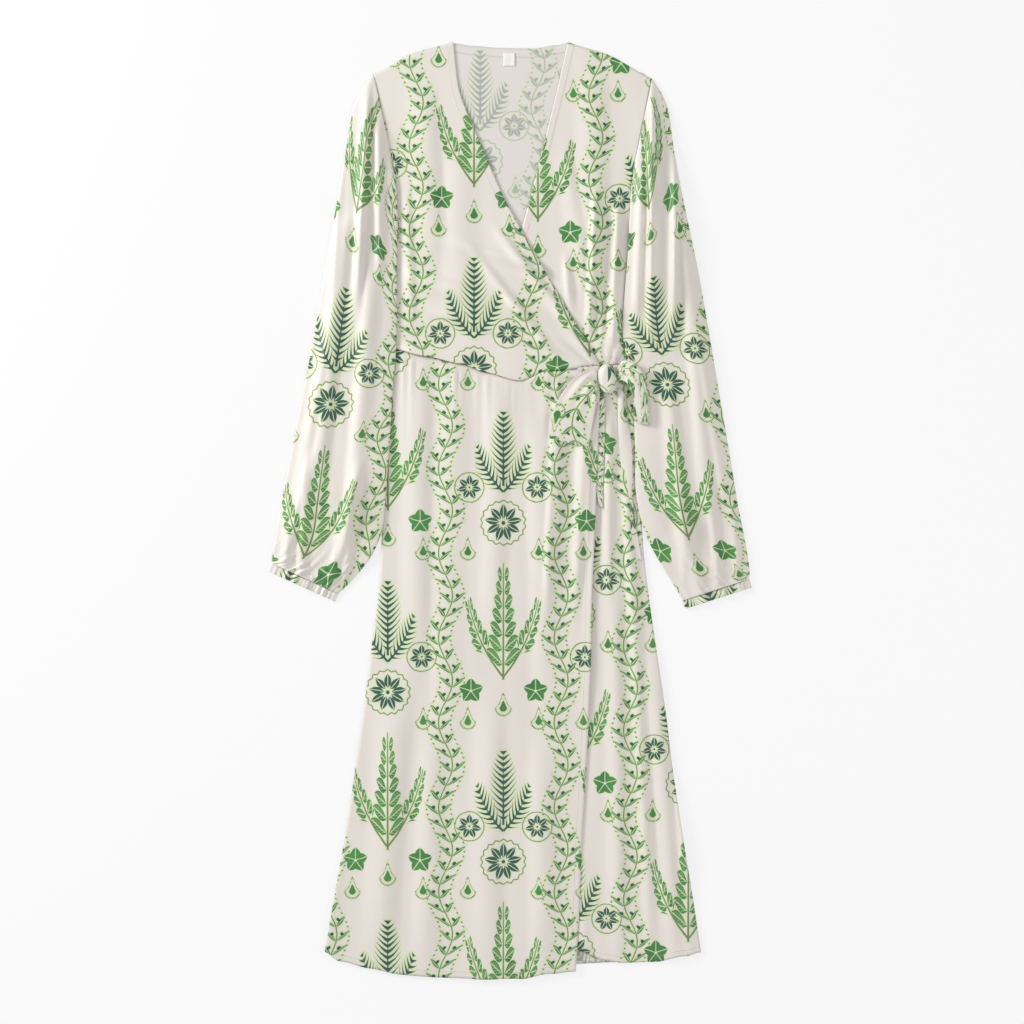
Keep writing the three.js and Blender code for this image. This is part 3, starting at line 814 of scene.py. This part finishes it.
def tube_place(rows, side, folds, loft, grain):
    """Places a grid round a flattened tube; u goes round it and v down it."""
    outer_edge, inner_edge = two_edges(rows)
    first, end = middle_of(rows[0]), middle_of(rows[-1])

    def place(u, v):
        outer, inner = outer_edge(v), inner_edge(v)
        share = 0.5 - 0.5 * np.cos(2 * math.pi * u)
        x = inner[:, 0] + (outer[:, 0] - inner[:, 0]) * share
        y = inner[:, 1] + (outer[:, 1] - inner[:, 1]) * share
        upper = u < 0.5
        round_edge = np.sin(math.pi * share) ** 0.42
        width = np.hypot(*(outer - inner).T)
        down = np.hypot(*((outer + inner) / 2 - first).T)
        to_cuff = np.clip(np.hypot(*(end - first)) - down, 0, None)
        high = loft * (1 - 0.6 * smooth_step(60, 0, to_cuff)) * smooth_step(-0.06, 0.07, v)
        fold = ridges(x, y, folds) + ripple(x * 1.1, y, 0.7)
        fold = fold + gathers(share * width, to_cuff, pitch=7.4, reach=38, tall=4.6, start=side * 2.0)
        top = tube_floor + tube_top + (high + fold) * round_edge
        bottom = tube_floor + tube_under * (1 - round_edge)
        edge = tube_floor + tube_edge
        z = np.where(upper, np.maximum(top, edge), bottom)
        on_edge = (share < edge_share) | (share > 1 - edge_share)
        z = np.where(on_edge, edge, z) + seat_height(side, x, y)
        around = np.where(upper, share, 2 - share) * width
        return x, y, z, side * (around - width / 2) + grain[0], grain[1] - down
    return place


# %% Sleeves and cuffs
cuff_reaches = (0.3, 5.8, 11.3)     # the casing's top, middle and edge, from the sleeve's end
to_cuff_cloth = 690                 # so far down the cloth the casing's own measure starts


def cuff_rows(rows):
    """The casing below a sleeve's last section, square to it."""
    outer_x, outer_y, inner_x, inner_y = rows[-1]
    run = math.hypot(inner_x - outer_x, inner_y - outer_y)
    sign = math.copysign(1, inner_x - outer_x)
    down_x, down_y = sign * (inner_y - outer_y) / run, -sign * (inner_x - outer_x) / run
    return [(outer_x + down_x * reach, outer_y + down_y * reach, inner_x + down_x * reach,
             inner_y + down_y * reach) for reach in cuff_reaches]


sleeve_pair = [
    ("right", -1, left_sleeve_rows, left_sleeve_folds, (20, 60)),
    ("left", 1, right_sleeve_rows, right_sleeve_folds, (160, 250)),
]
sleeves, cuffs = {}, {}
for wearer, side, rows, folds, (grain_s, grain_t) in sleeve_pair:
    tube = {"offset": -1, "round_tube": True, "flip": side < 0}
    sleeve_place = tube_place(rows, side, folds, 4.2, (grain_s, grain_t))
    sleeves[wearer] = cloth_piece(f"sleeve_{wearer}", "printed_satin", 110, 200, sleeve_place, **tube)
    cuff_place = tube_place(cuff_rows(rows), side, [], 1.6, (grain_s, grain_t - to_cuff_cloth))
    cuffs[wearer] = cloth_piece(f"cuff_{wearer}", "printed_satin", 160, 12, cuff_place, **tube)

# %% [markdown]
# ## The bow
# The tie is a soft flat band. Each loop leaves the knot in pleats, opens to the band's width, turns, and
# comes back beneath. The tails fall away down the skirt, and the knot is a short turn of the same band.

# %% Sections along the loops and tails: left x, y and right x, y
left_loop = [(110, 182, 112, 160), (92, 177, 111, 152), (72, 158, 110, 137), (56, 130, 107, 117),
             (50, 104, 103, 94), (50, 92, 99, 79)]
right_loop = [(138, 166, 138, 183), (144, 167, 145, 192), (151, 162, 157, 190), (156, 151, 169, 178),
              (160, 137, 175, 156), (163, 122, 178, 130), (165, 111, 180, 109)]
left_tail = [(108, 133, 122, 146), (107, 104, 122, 104), (107, 64, 121, 64), (109, 35, 120, 35),
             (114, 6, 119, 0)]
right_tail = [(138, 158, 149, 151), (139, 112, 153, 110), (141, 75, 157, 78), (144, 45, 158, 47),
              (148, 0, 159, 2), (153, -45, 166, -44), (156, -66, 170, -66)]

# %% Loops
tie_width = 52.0
loop_length = 200.0
half_band = 0.6         # from a seat to the middle of the band that lies on it
least_opening = 1.2     # between a loop's two layers
knot_rise = 1.5         # of the upper layer where it comes out of the knot
pleat_height = 1.5


def loop_place(rows, low, high, lift, grain, pleats):
    """A band out from the knot, round its end and back beneath. v runs the whole way.

    low and high are the heights of its seat at the knot and out at its end.
    """
    left_edge, right_edge = two_edges(rows)

    def place(u, v):
        out = 1 - np.abs(2 * v - 1)
        turn = np.clip(out * 1.02, 0, 1)
        start, end = left_edge(turn), right_edge(turn)
        x = start[:, 0] + (end[:, 0] - start[:, 0]) * u
        y = start[:, 1] + (end[:, 1] - start[:, 1]) * u
        upper = v < 0.5
        swell = (1 - out ** 6) ** 0.5
        across = np.sin(math.pi * u)
        pleat = np.cos(2 * math.pi * pleats * u + 1.0) * (1 - smooth_step(0.1, 0.75, out)) * pleat_height
        seat = low + (high - low) * smooth_step(0, 0.5, out)
        rise = lift * smooth_step(-0.1, 0.35, out) * swell * (0.75 + 0.25 * across)
        top = rise + least_opening + pleat * smooth_step(0, 0.2, out) + knot_rise * (1 - out)
        z = seat + half_band + np.where(upper, top, 0)
        return x, y, z, u * tie_width + grain[0], v * loop_length + grain[1]
    return place


# %% Tails
tail_width = 22.0
tail_length = 230.0
tail_middle = 1.1       # from a tail's seat to the middle of its cloth


def tail_place(rows, seat, grain, crease):
    """A band that falls from the knot with a soft crease down it, and rises and dips a little."""
    left_edge, right_edge = two_edges(rows)

    def place(u, v):
        start, end = left_edge(v), right_edge(v)
        x = start[:, 0] + (end[:, 0] - start[:, 0]) * u
        y = start[:, 1] + (end[:, 1] - start[:, 1]) * u
        ridge = crease * np.sin(math.pi * u) * (0.7 + 0.5 * np.sin(5 * v + 1))
        z = seat + tail_middle + ridge + 0.6 * np.sin(9 * v + 4 * u)
        return x, y, z, u * tail_width + grain[0], -v * tail_length + grain[1]
    return place


# %% The bow's four bands, each on its seat
tail_left = cloth_piece("tie_tail_left", "tie_satin", 14, 60,
                        tail_place(left_tail, 4.5, (210, 130), 1.6))
tail_right = cloth_piece("tie_tail_right", "tie_satin", 14, 90,
                         tail_place(right_tail, 3.0, (30, 330), 2.2))
loop_left = cloth_piece("tie_loop_left", "tie_satin", 40, 120,
                        loop_place(left_loop, 5.8, 5.8, 7.0, (190, 20), 3))
loop_right = cloth_piece("tie_loop_right", "tie_satin", 26, 120,
                         loop_place(right_loop, 4.5, 9.0, 6.0, (40, 300), 2))


# %% [markdown]
# ## The knot
# The knot is a tight turn of the same band. It could be a tied curve with a thickness, but all that shows
# is a small bulge with a few creases, so the grid is wrapped round an egg and creased by two waves.

# %% The knot
knot_half_width, knot_half_height, knot_half_depth = 11.5, 19, 6.8
knot_middle = 10.0
knot_end = 0.03         # share of the half turn that each end leaves open
knot_cloth = (60, 45)   # what goes round it, and along it


def knot_place(u, v):
    """A bulging turn of the band, creased along its length."""
    turn = 2 * math.pi * u
    rise = math.pi * (knot_end + (1 - 2 * knot_end) * v)
    crease = 1 + 0.06 * np.cos(5 * turn + 2 * rise) + 0.05 * np.sin(3 * rise + turn)
    ring = np.sin(rise) ** 0.7 * crease
    x = knot_x + knot_half_width * ring * np.sin(turn)
    y = knot_y + knot_half_height * np.cos(rise) * (1 + 0.03 * np.cos(3 * turn))
    z = knot_middle + knot_half_depth * ring * np.cos(turn)
    return x, y, z, u * knot_cloth[0] + 300, v * knot_cloth[1] + 120


cloth_piece("tie_knot", "tie_satin", 64, 32, knot_place, round_tube=True, offset=-1)


# %% [markdown]
# ## The size tab
# A small woven tab is sewn in at the back of the neck. It is bare, and its ribs run across it.

# %% The size tab
tab_left, tab_top = -10, 592.5
tab_width, tab_height = 15, 17


def tab_place(u, v):
    """A slightly waved tab, flat on the back bodice's wrong side."""
    z = 2.0 + 0.25 * np.sin(7 * u) * np.sin(math.pi * v)
    return tab_left + tab_width * u, tab_top - tab_height * v, z, u * tab_width, v * tab_height


tab_material = bpy.data.materials.new("label tape")
tab_material.use_nodes = True
tab_tree = tab_material.node_tree
tab_root = Field(tab_tree, None)
tab_measure = tab_root.node("ShaderNodeUVMap", {"uv_map": "Cloth"})
ribbed = tab_measure.node("ShaderNodeTexWave", {"bands_direction": "Y"},
                          {"Vector": tab_measure, "Scale": 900.0})
tab_colour = ribbed.over(srgb(244, 243, 241), srgb(250, 249, 248))
tab_shader = tab_tree.nodes["Principled BSDF"]
tab_tree.links.new(tab_colour.socket, tab_shader.inputs["Base Color"])
tab_shader.inputs["Roughness"].default_value = 0.8
cloth_piece("size_label", "label_tape", 12, 12, tab_place, thickness=0.5,
            materials=(tab_material, tab_material))

# %% [markdown]
# ## How the cloth is cut
# A bodice or a sleeve is far from a rectangle, and a sleeve's cut goes all round its tube.

# %% [markdown]
# ## Floor and sky
# The dress lies on a pale floor. To the camera the floor is mostly white of its own, so that it looks like
# a clean backdrop, and the rest of it is plain paint that keeps the soft shadow round the dress. The sky
# fills the shadows from all sides.

# %% Floor
white_share = 0.72
bpy.ops.mesh.primitive_plane_add(size=12, location=(0, 0, -0.0004))
floor = bpy.context.object
floor.name = "floor"
floor_material = bpy.data.materials.new("floor")
floor_material.use_nodes = True
floor_tree = floor_material.node_tree
floor_shader = floor_tree.nodes["Principled BSDF"]
floor_shader.inputs["Base Color"].default_value = (0.9, 0.9, 0.9, 1)
floor_shader.inputs["Roughness"].default_value = 0.9
path = floor_tree.nodes.new("ShaderNodeLightPath")
floor_root = Field(floor_tree, path.outputs["Is Camera Ray"])
seen = floor_root.high(Field(floor_tree, path.outputs["Is Glossy Ray"]))
glow = floor_root.node("ShaderNodeEmission", None, {"Color": (1, 1, 1, 1), "Strength": 1.0})
blend = floor_root.node("ShaderNodeMixShader", None, {0: seen * white_share})
floor_tree.links.new(floor_shader.outputs[0], blend.socket.node.inputs[1])
floor_tree.links.new(glow.socket, blend.socket.node.inputs[2])
floor_tree.links.new(blend.socket, floor_tree.nodes["Material Output"].inputs["Surface"])
floor.data.materials.append(floor_material)

# %% Sky
world = bpy.data.worlds.new("studio")
bpy.context.scene.world = world
world.use_nodes = True
sky = world.node_tree.nodes["Background"]
sky.inputs["Color"].default_value = (1, 1, 1, 1)
sky.inputs["Strength"].default_value = 0.55
